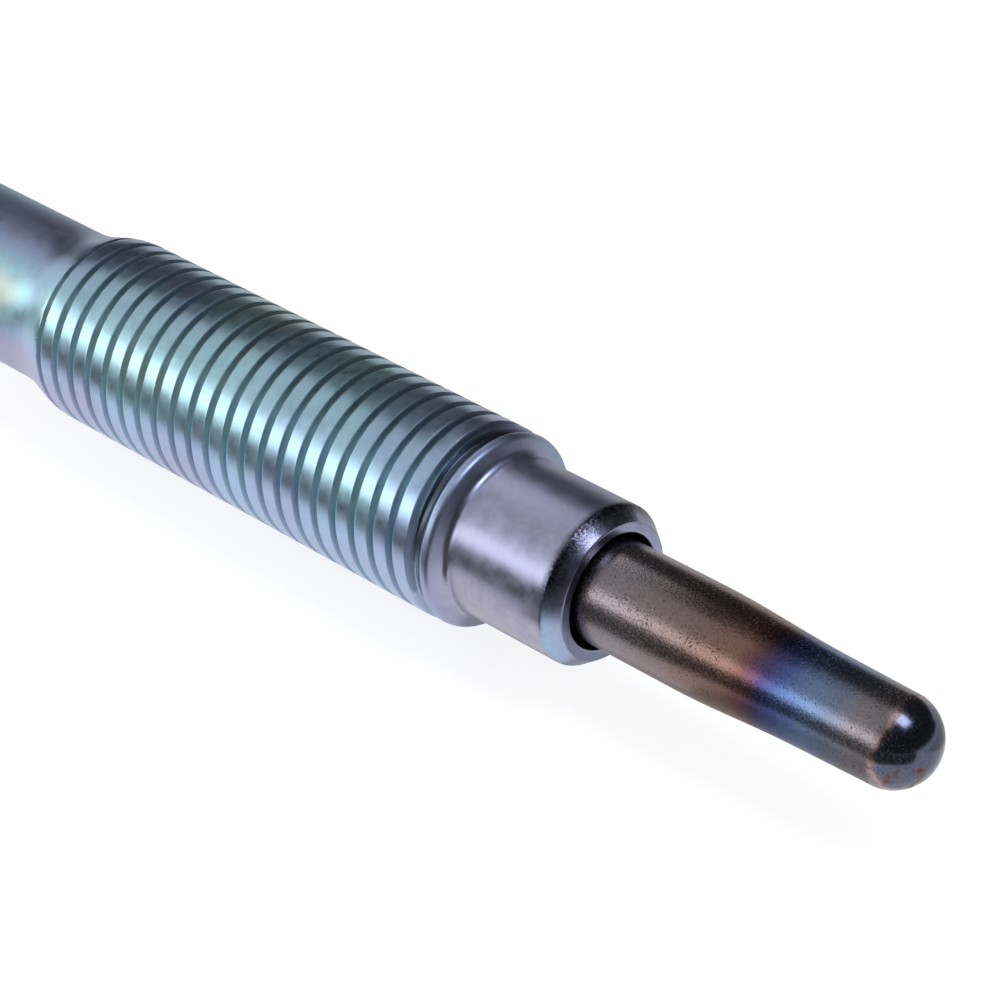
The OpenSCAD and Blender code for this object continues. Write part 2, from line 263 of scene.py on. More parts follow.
# It drifts in patches of 6 mm, more on the thread and the shank than on the nose.
patches = add(tree, "ShaderNodeTexNoise", {"Vector": where, "Scale": per_mm(6), "Detail": 2.0})
drift = add(tree, "ShaderNodeMath", {0: patches.outputs[0], 1: 0.5}, operation="SUBTRACT")
drifting = add(tree, "ShaderNodeMapRange", {0: along, 1: -8.0, 2: -6.5, 3: 0.42, 4: 0.14})
drift = add(tree, "ShaderNodeMath", {0: drift, 1: drifting}, operation="MULTIPLY")
film = add(tree, "ShaderNodeMath", {0: drained, 1: drift}, operation="ADD")
groove = add(tree, "ShaderNodeAttribute", attribute_name="groove").outputs["Fac"]
pooled = add(tree, "ShaderNodeMath", {0: groove, 1: 0.12, 2: film}, operation="MULTIPLY_ADD")
film_colour = add(tree, "ShaderNodeValToRGB", {0: pooled}, stops=[
    (0.0, "#aca6b8"), (0.14, "#a4a5c2"), (0.27, "#a2b8d6"), (0.42, "#a6ceda"), (0.57, "#b6c5be"),
    (0.70, "#b8b3a6"), (0.82, "#b39fb0"), (1.0, "#66659c")])
print("film: zones", len(film_zones.color_ramp.elements), "colours", len(film_colour.color_ramp.elements))

# %% Grain and painted shade
# Plated steel is a little cloudy, from patches of 0.7 mm down to a grain of 0.05 mm, and most so on the nose.
grain = add(tree, "ShaderNodeTexNoise", {"Vector": where, "Scale": per_mm(0.7), "Detail": 4.0, "Roughness": 0.65})
mottle = add(tree, "ShaderNodeMapRange", {0: along, 1: SHOULDER_BACK, 2: NOSE_BACK, 3: 0.90, 4: 0.78})
grain_shade = add(tree, "ShaderNodeMapRange", {0: grain.outputs[0], 1: 0.3, 2: 0.7, 3: mottle, 4: 1.08})
# Painted shade darkens the groove and the relief behind the rim, mostly on top.
groove_shade_level = add(tree, "ShaderNodeMapRange", {0: height, 1: 0.84, 2: 0.97, 3: 0.88, 4: 0.35})
root_shade = add(tree, "ShaderNodeMapRange", {0: groove, 1: 0.0, 2: 0.05, 3: 1.0, 4: groove_shade_level})
shade = add(tree, "ShaderNodeMath", {0: grain_shade, 1: root_shade}, operation="MULTIPLY")
relief_front = add(tree, "ShaderNodeMapRange", {0: along, 1: -7.6, 2: -7.95}, interpolation_type="SMOOTHSTEP")
relief_back = add(tree, "ShaderNodeMapRange", {0: along, 1: -8.38, 2: -8.2}, interpolation_type="SMOOTHSTEP")
relief_shade = add(tree, "ShaderNodeMath", {0: relief_front, 1: relief_back}, operation="MULTIPLY")
relief_shade_level = add(tree, "ShaderNodeMapRange", {0: height, 1: 0.5, 2: 0.7, 3: 0.2, 4: 0.75})
relief_shade = add(tree, "ShaderNodeMath", {0: relief_shade, 1: relief_shade_level}, operation="MULTIPLY")
relief_unshaded = add(tree, "ShaderNodeMath", {0: 1.0, 1: relief_shade}, operation="SUBTRACT")
shade = add(tree, "ShaderNodeMath", {0: shade, 1: relief_unshaded}, operation="MULTIPLY")
print("zinc plate with grain and grime:", len(tree.nodes), "nodes")

# %% The bruised seat, its painted shade and the plate's colour
# The seat's edge is bruised, with dark specks of 0.13 mm. On its upper side the specks also carry painted shade, which
# dims the whole band.
edge_in = add(tree, "ShaderNodeMapRange", {0: along, 1: -1.15, 2: -0.8})
edge_out = add(tree, "ShaderNodeMapRange", {0: along, 1: -0.65, 2: -0.05, 3: 1.0, 4: 0.15})
bruise_and_shade_top = add(tree, "ShaderNodeMapRange", {0: height, 1: 0.55, 2: 0.72, 3: 0.1, 4: 1.0})
bruise_and_shade = add(tree, "ShaderNodeMath", {0: edge_in, 1: edge_out}, operation="MULTIPLY")
bruise_and_shade = add(tree, "ShaderNodeMath", {0: bruise_and_shade, 1: bruise_and_shade_top}, operation="MULTIPLY")
pits = add(tree, "ShaderNodeTexNoise", {"Vector": where, "Scale": per_mm(0.13), "Detail": 2.0})
speck_and_shade = add(tree, "ShaderNodeMapRange", {0: pits.outputs[0], 1: 0.45, 2: 0.70, 3: 0.08, 4: 0.5})
speckled_and_shaded = add(tree, "ShaderNodeMix", {0: bruise_and_shade, 2: 1.0, 3: speck_and_shade})
shade = add(tree, "ShaderNodeMath", {0: shade, 1: speckled_and_shaded}, operation="MULTIPLY")
zinc_colour = add(tree, "ShaderNodeMix", {0: 1.0, 6: film_colour.outputs[0], 7: shade}, data_type="RGBA",
                  blend_type="MULTIPLY")
tree.links.new(zinc_colour.outputs[2], shader.inputs["Base Color"])
print("zinc plate with its colour:", len(tree.nodes), "nodes")

# %% Dull and bright parts of the plate
dull = add(tree, "ShaderNodeMapRange", {0: grain.outputs[0], 1: 0.25, 2: 0.75, 3: 0.25, 4: 0.38})
# The top of the nose is frosted. The seat's cone was turned last and is smoother, but its edge is bruised.
polish = add(tree, "ShaderNodeMapRange", {0: along, 1: -0.90, 2: -0.70, 3: 0.07, 4: -0.06})
frost_top = add(tree, "ShaderNodeMapRange", {0: height, 1: 0.70, 2: 0.88})
frost = add(tree, "ShaderNodeMapRange", {0: along, 1: SHOULDER_BACK, 2: NOSE_BACK})
frost = add(tree, "ShaderNodeMath", {0: frost, 1: polish}, operation="MULTIPLY")
frost = add(tree, "ShaderNodeMath", {0: frost, 1: frost_top}, operation="MULTIPLY")
dull = add(tree, "ShaderNodeMath", {0: dull, 1: frost}, operation="ADD")
# The rim's rounding and the thread's groove, up to its edges, are rougher than what was turned.
rim_front = add(tree, "ShaderNodeMapRange", {0: along, 1: -6.8, 2: -7.1})
rim_back = add(tree, "ShaderNodeMapRange", {0: along, 1: -8.0, 2: -7.6})
on_rim = add(tree, "ShaderNodeMath", {0: rim_front, 1: rim_back}, operation="MULTIPLY")
dull = add(tree, "ShaderNodeMath", {0: on_rim, 1: 0.10, 2: dull}, operation="MULTIPLY_ADD")
rolled = add(tree, "ShaderNodeMapRange", {0: groove, 1: 0.0, 2: 0.05, 3: 0.0, 4: 0.26})
dull = add(tree, "ShaderNodeMath", {0: dull, 1: rolled}, operation="ADD")
# The shank was never turned after drawing, so it is duller.
drawn = add(tree, "ShaderNodeMapRange", {0: along, 1: -36.0, 2: -38.5, 3: 0.0, 4: 0.14})
dull = add(tree, "ShaderNodeMath", {0: dull, 1: drawn}, operation="ADD")
tree.links.new(dull.outputs[0], shader.inputs["Roughness"])
print("zinc plate with its gloss:", len(tree.nodes), "nodes")

# %% Pits, turning marks and grain to feel
# A lathe's feed marks are too fine to show here, so they are drawn 0.12 mm apart.
marks_at = add(tree, "ShaderNodeCombineXYZ", {0: along, 1: radius})
marks = add(tree, "ShaderNodeTexNoise", {"Vector": marks_at, "Scale": 1 / 0.12, "Detail": 1.0})
pitted = add(tree, "ShaderNodeMath", {0: pits.outputs[0], 1: bruise_and_shade}, operation="MULTIPLY")
seat_bump = add(tree, "ShaderNodeBump", {"Strength": 0.6, "Distance": 0.025 * MM, "Height": pitted})
mark_bump = add(tree, "ShaderNodeBump", {"Strength": 0.25, "Distance": 0.004 * MM, "Height": marks.outputs[0],
                                         "Normal": seat_bump})
grain_bump = add(tree, "ShaderNodeBump", {"Strength": 0.3, "Distance": 0.005 * MM, "Height": grain.outputs[0],
                                          "Normal": mark_bump})
tree.links.new(grain_bump.outputs[0], shader.inputs["Normal"])
print("zinc plate in full:", len(tree.nodes), "nodes")

# %% [markdown]
# ## The shell's blank
# The shell is one turned body: the front ring, the conical seat that seals in the engine, the plain nose, a hollowed
# shoulder with a narrow rim, a turned relief where the thread starts, the part that takes the thread, the shank, the
# hexagon, a collar, and the bores inside. The outline goes once round, out over the front and back through the bores.
# Rows stand close together where the thread will be cut, thirty-two to each turn, so that the narrow groove comes
# out smooth.

# %% Hexagon helpers
# Two columns close to each corner make it a narrow edge, and the others stand evenly between them.
SECTOR = [0.8] + [3.75 * k for k in range(1, 16)] + [59.2]
HEX_COLUMNS = np.radians([60 * s + a for s in range(6) for a in SECTOR])


def hexagon(front, back, across_flats):
    """Rows of a hexagonal bar with a flat downwards, whose corners are turned off at 30 degrees at both ends."""
    from_flat = np.degrees(HEX_COLUMNS) % 60 - 30
    r = across_flats / 2 / np.cos(np.radians(from_flat))
    face = 0.985 * across_flats / 2
    depth = (r - face) * math.tan(math.radians(30))
    ring = [(0.0, face - 0.05), (0.0, face), (0.15 * depth, face + 0.15 * (r - face)), (depth, r)]
    return [(front - d, q) for d, q in ring] + [(back + d, q) for d, q in reversed(ring)]


print("columns round a hexagonal piece:", len(HEX_COLUMNS))

# %% The shell's outline
PITCH, CREST_R, ROOT_R = 1.25, 4.9, 4.58
SHANK_R, HEX_FRONT, HEX_BACK, HEX_ACROSS, SHELL_BACK = 4.15, -53.6, -61.6, 12, -64.6
TUBE_R, TUBE_BACK = 2.575, -26
outside = eased([
    (0, 3.2, 0), (0, 3.415, 0.07), (-0.805, 4.0, 0.09),  # front ring and conical seat
    (-6.72, 4.0, 0.3), (-7.15, 4.8, 0.16), (-7.5, 4.88, 0.08),  # nose, shoulder and rim
    (-7.85, 4.56, 0.1), (-8.15, 4.54, 0.06), (-8.35, CREST_R, 0.06),  # relief
    (-34.6, CREST_R, 0.6), (-37.1, SHANK_R, 1.1),  # blank for the thread, and the cone behind it
    (HEX_FRONT, SHANK_R, 0.25), (HEX_FRONT, 5.2, 0)], steps=6)
collar = eased([(HEX_BACK, 5.2, 0), (HEX_BACK, 4.8, 0.12), (-64.2, 4.8, 0.06), (SHELL_BACK, 4.4, 0.06),
                (SHELL_BACK, 3.9, 0)])
bores = eased([
    (SHELL_BACK, 3.9, 0), (SHELL_BACK, 3.35, 0.08), (-58.0, 3.35, 0.05),  # room for the bush and the o-ring
    (-58.0, 2.2, 0.05), (TUBE_BACK, 2.2, 0.02),  # room for the rod
    (TUBE_BACK, TUBE_R, 0.02), (-9, TUBE_R, 0.02),  # the tube's seat
    (-9, 2.875, 0.02), (0, 2.875, 0.1), (0, 3.1, 0)])  # the mouth, with a gap round the tube
blank_x, blank_r = np.array([p for p in outside if p[0] < -6.0 and p[1] < 5.0]).T
CUT_FRONT, CUT_BACK, ROWS_A_TURN = -7.3, -37.9, 32
cut_x = np.arange(CUT_FRONT, CUT_BACK, -PITCH / ROWS_A_TURN)
rows = [p for p in outside if p[0] > cut_x[0]]
rows += list(zip(cut_x, np.interp(-cut_x, -blank_x, blank_r)))
rows += [p for p in outside if p[0] < cut_x[-1]]
rows += hexagon(HEX_FRONT, HEX_BACK, HEX_ACROSS) + collar[:-1] + bores[:-1]
shell = turned("shell_body", rows, HEX_COLUMNS)
print("rows in the shell's outline:", len(rows))

# %% [markdown]
# ## Cutting the threads
# A thread is one groove that winds round the body, so it follows a rule: the groove's place moves along the axis by
# one pitch in each turn. The helix could be swept with a cutter and a Boolean, but that is slow and leaves long thin
# faces. Instead a Geometry Nodes tree moves the points of the blank inwards. From a point's place along the axis and
# its angle it works out how far the point is from the middle of the groove, looks up the thread's radius there, and
# keeps whichever radius is smaller. So the thread fades out by itself where the blank is thinner. The tree also
# stores how deep each point was cut, for the finish to use.

# %% The thread-cutting tree
cutter = bpy.data.node_groups.new("cut thread", "GeometryNodeTree")
cutter.interface.new_socket("Geometry", in_out="OUTPUT", socket_type="NodeSocketGeometry")
cutter.interface.new_socket("Geometry", in_out="INPUT", socket_type="NodeSocketGeometry")
for name in ("Pitch", "Crest radius", "Root radius", "Floor edge", "Crest edge", "Start", "Lead", "Phase"):
    cutter.interface.new_socket(name, in_out="INPUT", socket_type="NodeSocketFloat")
cutter.interface.new_socket("Finish", in_out="INPUT", socket_type="NodeSocketMaterial")
given = add(cutter, "NodeGroupInput").outputs
point = add(cutter, "ShaderNodeSeparateXYZ", {0: add(cutter, "GeometryNodeInputPosition")})
x, y, z = point.outputs
across = add(cutter, "ShaderNodeCombineXYZ", {1: y, 2: z})
blank = add(cutter, "ShaderNodeVectorMath", {0: across}, operation="LENGTH").outputs["Value"]
angle = add(cutter, "ShaderNodeMath", {0: z, 1: y}, operation="ARCTAN2")
turn = add(cutter, "ShaderNodeMath", {0: angle, 1: -1 / math.tau, 2: given["Phase"]}, operation="MULTIPLY_ADD")
along_turns = add(cutter, "ShaderNodeMath", {0: x, 1: given["Pitch"]}, operation="DIVIDE")
helix = add(cutter, "ShaderNodeMath", {0: along_turns, 1: turn}, operation="ADD")
off_middle = add(cutter, "ShaderNodeMath", {0: helix, 1: 0.5}, operation="PINGPONG")
# The side of the groove runs from the floor's edge to the crest's edge, both in turns from the groove's middle.
thread_r = add(cutter, "ShaderNodeMapRange", {0: off_middle, 1: given["Floor edge"], 2: given["Crest edge"],
                                              3: given["Root radius"], 4: given["Crest radius"]},
               interpolation_type="SMOOTHSTEP")
smaller = add(cutter, "ShaderNodeMath", {0: blank, 1: thread_r}, operation="MINIMUM")
lead_end = add(cutter, "ShaderNodeMath", {0: given["Start"], 1: given["Lead"]}, operation="SUBTRACT")
lead = add(cutter, "ShaderNodeMapRange", {0: x, 1: given["Start"], 2: lead_end}, interpolation_type="SMOOTHSTEP")
# What stands out past the crests, such as a hexagon, isn't part of the thread and stays whole.
widest = add(cutter, "ShaderNodeMath", {0: given["Crest radius"], 1: 0.01 * MM}, operation="ADD")
on_thread = add(cutter, "ShaderNodeMath", {0: blank, 1: widest}, operation="LESS_THAN")
lead = add(cutter, "ShaderNodeMath", {0: lead, 1: on_thread}, operation="MULTIPLY")
cut_r = add(cutter, "ShaderNodeMix", {0: lead, 2: blank, 3: smaller})
print("thread cutter so far:", len(cutter.nodes), "nodes")

# %% Move the points and keep the depth
share = add(cutter, "ShaderNodeMath", {0: cut_r, 1: blank}, operation="DIVIDE")
moved = add(cutter, "ShaderNodeVectorMath", {0: across, "Scale": share}, operation="SCALE")
moved = add(cutter, "ShaderNodeVectorMath", {0: moved, 1: add(cutter, "ShaderNodeCombineXYZ", {0: x})},
            operation="ADD")
taken = add(cutter, "ShaderNodeMath", {0: blank, 1: cut_r}, operation="SUBTRACT")
full = add(cutter, "ShaderNodeMath", {0: given["Crest radius"], 1: given["Root radius"]}, operation="SUBTRACT")
depth = add(cutter, "ShaderNodeMath", {0: taken, 1: full}, operation="DIVIDE")
stored = add(cutter, "GeometryNodeStoreNamedAttribute", {0: given["Geometry"], "Name": "groove", "Value": depth},
             data_type="FLOAT", domain="POINT")
placed = add(cutter, "GeometryNodeSetPosition", {0: stored, "Position": moved})
real = add(cutter, "GeometryNodeRealizeInstances", {0: placed})
dressed = add(cutter, "GeometryNodeSetMaterial", {0: real, "Material": given["Finish"]})
add(cutter, "NodeGroupOutput", {0: dressed})
print("thread cutter in full:", len(cutter.nodes), "nodes")

# %% Cut the shell's thread
def through(piece, tree, **values):
    """Runs a piece through a Geometry Nodes tree and keeps the result as its plain mesh."""
    modifier = piece.modifiers.new(tree.name, "NODES")
    modifier.node_group = tree
    for item in tree.interface.items_tree:
        key = item.name.lower().replace(" ", "_")
        if item.in_out == "INPUT" and key in values:
            modifier[item.identifier] = values[key]
    seen = piece.evaluated_get(bpy.context.evaluated_depsgraph_get())
    mesh = bpy.data.meshes.new_from_object(seen)
    piece.modifiers.remove(modifier)
    piece.data = mesh


# The groove is narrow, so its crests stay wide and flat, and it starts inside the relief.
through(shell, cutter, pitch=PITCH * MM, crest_radius=CREST_R * MM, root_radius=ROOT_R * MM, floor_edge=0.0,
        crest_edge=0.19, start=-8.0 * MM, lead=0.2 * MM, phase=0.075, finish=zinc)
close_up(shell)
settle(shell, "shell")

# %% [markdown]
# ## Heat-tinted nickel alloy
# The heater tube is a nickel alloy that was swaged down in a press and then run hot once at the works. Heat grows an
# oxide film in steps along the tube: grey-brown at the cool end, copper, a narrow magenta ring, violet and blue, then
# a pinkish grey where the tip was hottest. The film's colour follows the distance along the tube, so a ramp over X
# paints it. The edge of each colour wanders, because a noise shifts the distance by a few tenths of a millimetre.
# Fine black pits and a grainy sheen come from the press and the scale.

# %% Tint along the tube
tinted, tree, shader = new_finish("heat_tinted_nickel_alloy", Metallic=1.0)
where, along, height = place_nodes(tree)[:3]
wander = add(tree, "ShaderNodeTexNoise", {"Vector": where, "Scale": per_mm(1.6), "Detail": 4.0, "Roughness": 0.6})
shift = add(tree, "ShaderNodeMapRange", {0: wander.outputs[0], 1: 0.25, 2: 0.75, 3: -0.5, 4: 0.5})
shifted = add(tree, "ShaderNodeMath", {0: along, 1: shift}, operation="ADD")
TIP = 18.3
heat = add(tree, "ShaderNodeMapRange", {0: shifted, 1: 0.0, 2: TIP})
# The pale stop at 16.62 mm is a painted highlight along the edge at the round end's foot.
tints = [
    (0.0, "#857c80"), (2.0, "#887e84"), (5.0, "#837472"), (6.5, "#816c66"), (8.5, "#84675c"),  # grey to copper
    (9.3, "#75524e"), (9.9, "#5e4658"), (10.5, "#494672"), (11.2, "#4b5a8e"), (12.0, "#5f74a0"),  # violet to blue
    (13.0, "#6c80a2"), (14.0, "#707b94"), (14.8, "#7c7e8b"), (15.5, "#847c82"), (16.45, "#80767a"),  # pinkish grey
    (16.62, "#a88f8d"), (16.8, "#786c73"), (17.0, "#5e6274"), (TIP, "#565b6c")]  # pale edge and dark round end
tint = add(tree, "ShaderNodeValToRGB", {0: heat}, stops=[(x / TIP, colour) for x, colour in tints])
print("tint stops along the tube:", len(tints))

# %% Pits and grit
# Grit and pits are about 0.1 mm across, and the pits crowd in some patches of 2.5 mm.
grit = add(tree, "ShaderNodeTexNoise", {"Vector": where, "Scale": per_mm(0.10), "Detail": 2.0})
spots = add(tree, "ShaderNodeTexNoise", {"Vector": where, "Scale": per_mm(0.11), "Detail": 3.0, "Roughness": 0.7})
worst = add(tree, "ShaderNodeTexNoise", {"Vector": where, "Scale": per_mm(2.5), "Detail": 1.0})
limit = add(tree, "ShaderNodeMapRange", {0: worst.outputs[0], 1: 0.3, 2: 0.7, 3: 0.68, 4: 0.58})
over = add(tree, "ShaderNodeMath", {0: spots.outputs[0], 1: limit}, operation="SUBTRACT")
pit = add(tree, "ShaderNodeMapRange", {0: over, 1: 0.0, 2: 0.05})
grit_shade = add(tree, "ShaderNodeMapRange", {0: grit.outputs[0], 1: 0.3, 2: 0.7, 3: 0.78, 4: 1.12})
pit_shade = add(tree, "ShaderNodeMapRange", {0: pit, 3: 1.0, 4: 0.25})
shade = add(tree, "ShaderNodeMath", {0: grit_shade, 1: pit_shade}, operation="MULTIPLY")
print("heat-tinted alloy with pits:", len(tree.nodes), "nodes")

# %% Stain and rust
# One magenta stain lies where copper turns to blue, on the side towards the light.
STAIN = (9.9, -2.0, 1.25)
off_stain = add(tree, "ShaderNodeVectorMath", {0: where, 1: [c * MM for c in STAIN]}, operation="DISTANCE")
stain = add(tree, "ShaderNodeMapRange", {0: off_stain.outputs["Value"], 1: 0.10 * MM, 2: 0.60 * MM, 3: 0.3, 4: 0.0},
            interpolation_type="SMOOTHSTEP")
stained = add(tree, "ShaderNodeMix", {0: stain, 6: tint.outputs[0], 7: linear("#8c5078")}, data_type="RGBA")
scaled = add(tree, "ShaderNodeMix", {0: 1.0, 6: stained.outputs[2], 7: shade}, data_type="RGBA",
             blend_type="MULTIPLY")
# Rust sits in spots on the round end, low down.
end_zone = add(tree, "ShaderNodeMapRange", {0: along, 1: 16.6, 2: 17.3})
low_zone = add(tree, "ShaderNodeMapRange", {0: height, 1: 0.75, 2: 0.45})
rust_spots = add(tree, "ShaderNodeTexNoise", {"Vector": where, "Scale": per_mm(0.7), "Detail": 3.0})
rust_at = add(tree, "ShaderNodeMapRange", {0: rust_spots.outputs[0], 1: 0.52, 2: 0.66})
rust_at = add(tree, "ShaderNodeMath", {0: rust_at, 1: end_zone}, operation="MULTIPLY")
rust_at = add(tree, "ShaderNodeMath", {0: rust_at, 1: low_zone}, operation="MULTIPLY")
rusted = add(tree, "ShaderNodeMix", {0: rust_at, 6: scaled.outputs[2], 7: linear("#6b432f")}, data_type="RGBA")
tree.links.new(rusted.outputs[2], shader.inputs["Base Color"])
print("heat-tinted alloy with rust:", len(tree.nodes), "nodes")

# %% Gloss and grit to feel
dull = add(tree, "ShaderNodeMapRange", {0: grit.outputs[0], 1: 0.25, 2: 0.75, 3: 0.20, 4: 0.34})
dull = add(tree, "ShaderNodeMath", {0: rust_at, 1: 0.4, 2: dull}, operation="MULTIPLY_ADD")
# The round end carries a smooth, glassy scale without grit.
glaze = add(tree, "ShaderNodeMapRange", {0: along, 1: 16.4, 2: 16.8})
dull = add(tree, "ShaderNodeMath", {0: glaze, 1: -0.08, 2: dull}, operation="MULTIPLY_ADD")
tree.links.new(dull.outputs[0], shader.inputs["Roughness"])
rough_part = add(tree, "ShaderNodeMath", {0: 1.0, 1: glaze}, operation="SUBTRACT")
gritty = add(tree, "ShaderNodeMath", {0: grit.outputs[0], 1: rough_part}, operation="MULTIPLY")
grit_bump = add(tree, "ShaderNodeBump", {"Strength": 0.6, "Distance": 0.014 * MM, "Height": gritty})
pit_depth = add(tree, "ShaderNodeMath", {0: 1.0, 1: pit}, operation="SUBTRACT")
pit_bump = add(tree, "ShaderNodeBump", {"Strength": 0.6, "Distance": 0.015 * MM, "Height": pit_depth,
                                        "Normal": grit_bump})
tree.links.new(pit_bump.outputs[0], shader.inputs["Normal"])
print("heat-tinted alloy in full:", len(tree.nodes), "nodes")

# %% [markdown]
# ## The heater tube
# The tube is closed at its round end and open at the other, inside the shell. Its outline starts at the pole of the
# round end, runs back over the outside and forwards again through the inside, so that the wall is a real one. The
# cone that the swaging press left has soft corners. The round end is a little flatter than a half ball, which leaves
# a faint edge at its foot, as on the real tube.

# %% Turn the tube
TIP_R, DOME_H, BORE_R = 2.2, 1.9, 1.975
DOME_FOOT, CONE_FRONT, CONE_BACK = 16.4, 11.0, 6.4
ball_r = (TIP_R ** 2 + DOME_H ** 2) / (2 * DOME_H)
foot = math.acos(TIP_R / ball_r)
dome = [(TIP - ball_r + ball_r * math.sin(a), ball_r * math.cos(a)) for a in np.linspace(math.pi / 2, foot, 25)]
dome[0] = (TIP, 0)
side = eased([(DOME_FOOT, TIP_R, 0), (16.2, 2.2018, 0.05), (CONE_FRONT, 2.3, 1.4), (CONE_BACK, TUBE_R, 1.4),
              (TUBE_BACK, TUBE_R, 0.05), (TUBE_BACK, 2.3, 0)], steps=8)
inside = eased([(TUBE_BACK, 2.1, 0), (TUBE_BACK, BORE_R, 0.05), (CONE_BACK, BORE_R, 0.3), (CONE_FRONT, 1.7, 0.3),
                (DOME_FOOT, 1.6, 0.05), (DOME_FOOT, 1.0, 0)])
tube = turned("heater_tube", dome + side[1:] + inside + [(DOME_FOOT, 0)], EVEN)
tube.data.materials.append(tinted)
close_up(tube)
settle(tube, "sheath")

# %% [markdown]
# ## Nickel plate, and the rod with its stud
# The centre rod carries the current from the terminal to the coils. Only the threaded stud at its back end is seen.
# It is rolled steel under bright nickel, a warm grey metal with a slight yellow cast. The rod is turned like the
# tube, and the same tree cuts its M4 thread.

# %% Nickel plate
nickel, tree, shader = new_finish("bright_nickel_plate", Metallic=1.0)
where = add(tree, "ShaderNodeTexCoord").outputs["Object"]
cloud = add(tree, "ShaderNodeTexNoise", {"Vector": where, "Scale": per_mm(1.8), "Detail": 4.0})
grain = add(tree, "ShaderNodeTexNoise", {"Vector": where, "Scale": per_mm(0.18), "Detail": 2.0})
tone = add(tree, "ShaderNodeValToRGB", {0: cloud.outputs[0]}, stops=[
    (0.30, "#b3aca0"), (0.5, "#c2bcb0"), (0.7, "#cbc6bd")])
# Painted shade darkens the thread's roots.
groove = add(tree, "ShaderNodeAttribute", attribute_name="groove").outputs["Fac"]
root_shade = add(tree, "ShaderNodeMapRange", {0: groove, 1: 0.2, 2: 1.0, 3: 1.0, 4: 0.5})
toned = add(tree, "ShaderNodeMix", {0: 1.0, 6: tone.outputs[0], 7: root_shade}, data_type="RGBA",
            blend_type="MULTIPLY")
tree.links.new(toned.outputs[2], shader.inputs["Base Color"])
dull = add(tree, "ShaderNodeMapRange", {0: grain.outputs[0], 1: 0.25, 2: 0.75, 3: 0.22, 4: 0.36})
tree.links.new(dull.outputs[0], shader.inputs["Roughness"])
grain_bump = add(tree, "ShaderNodeBump", {"Strength": 0.3, "Distance": 0.005 * MM, "Height": grain.outputs[0]})
tree.links.new(grain_bump.outputs[0], shader.inputs["Normal"])
print("nickel plate:", len(tree.nodes), "nodes")

# %% Turn the rod and cut its stud
STUD_PITCH, STUD_R, STUD_FRONT = 0.7, 2.0, -62.1
STUD_ROOT_R = STUD_R - 0.6134 * STUD_PITCH
ROD_R, ROD_NOSE_R, ROD_STEP = 1.75, 1.13, -26.45
rod_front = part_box("centre_rod")[1].x / MM
rod_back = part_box("centre_rod")[0].x / MM
rod = eased([(rod_front, 0, 0), (rod_front, ROD_NOSE_R, 0.05), (ROD_STEP, ROD_NOSE_R, 0.05), (ROD_STEP, ROD_R, 0.05),
             (STUD_FRONT, ROD_R, 0.05), (STUD_FRONT, STUD_R, 0.05), (rod_back + 0.5, STUD_R, 0.05),
             (rod_back, 1.5, 0.06), (rod_back, 0, 0)])
stud_x = np.arange(-62.4, rod_back + 0.6, -STUD_PITCH / 16)
rows = [p for p in rod if p[0] > stud_x[0]]
rows += [(x, STUD_R) for x in stud_x]
rows += [p for p in rod if p[0] < stud_x[-1]]
stud = turned("rod_and_stud", rows, np.radians(np.arange(0, 360, 5)))
through(stud, cutter, pitch=STUD_PITCH * MM, crest_radius=STUD_R * MM, root_radius=STUD_ROOT_R * MM,
        floor_edge=0.06, crest_edge=0.47, start=-63.5 * MM, lead=0.5 * MM, phase=0.1, finish=nickel)
close_up(stud)
settle(stud, "centre_rod")

# %% [markdown]
# ## Nuts
# Two nuts sit on the stud. The first holds the rod against the shell, and the second clamps the lead's eye. Both are
# the hexagon rows again, closed through a plain hole that leaves a twentieth of a millimetre round the stud's thread.

# %% Make the nuts
NUT_ACROSS, HOLE_R = 7, 2.05
for name, node in (("fixing_nut_body", "fixing_nut"), ("terminal_nut_body", "terminal_nut")):
    front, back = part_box(node)[1].x / MM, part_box(node)[0].x / MM
    hole = eased([(back, 2.6, 0), (back, HOLE_R, 0.1), (front, HOLE_R, 0.1), (front, 2.6, 0)])
    nut = turned(name, hexagon(front, back, NUT_ACROSS) + hole, HEX_COLUMNS)
    nut.data.materials.append(nickel)
    close_up(nut)
    settle(nut, node)

# %% [markdown]
# ## Spring washer
# The split washer under the terminal nut is bent from hardened spring steel, left dark from the tempering oil. Its
# CAD shape is right, so the piece is a copy of that solid. The copy is merged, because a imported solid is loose
# triangles, and a narrow bevel rounds its edges.

# %% Spring steel
spring, tree, shader = new_finish("oil_tempered_spring_steel", Metallic=1.0)
where = add(tree, "ShaderNodeTexCoord").outputs["Object"]
cloud = add(tree, "ShaderNodeTexNoise", {"Vector": where, "Scale": per_mm(1.2), "Detail": 4.0})
tone = add(tree, "ShaderNodeValToRGB", {0: cloud.outputs[0]}, stops=[
    (0.3, "#4a4b50"), (0.5, "#5e6068"), (0.7, "#6d6a66")])
tree.links.new(tone.outputs[0], shader.inputs["Base Color"])
dull = add(tree, "ShaderNodeMapRange", {0: cloud.outputs[0], 1: 0.25, 2: 0.75, 3: 0.30, 4: 0.48})
tree.links.new(dull.outputs[0], shader.inputs["Roughness"])
print("spring steel:", len(tree.nodes), "nodes")

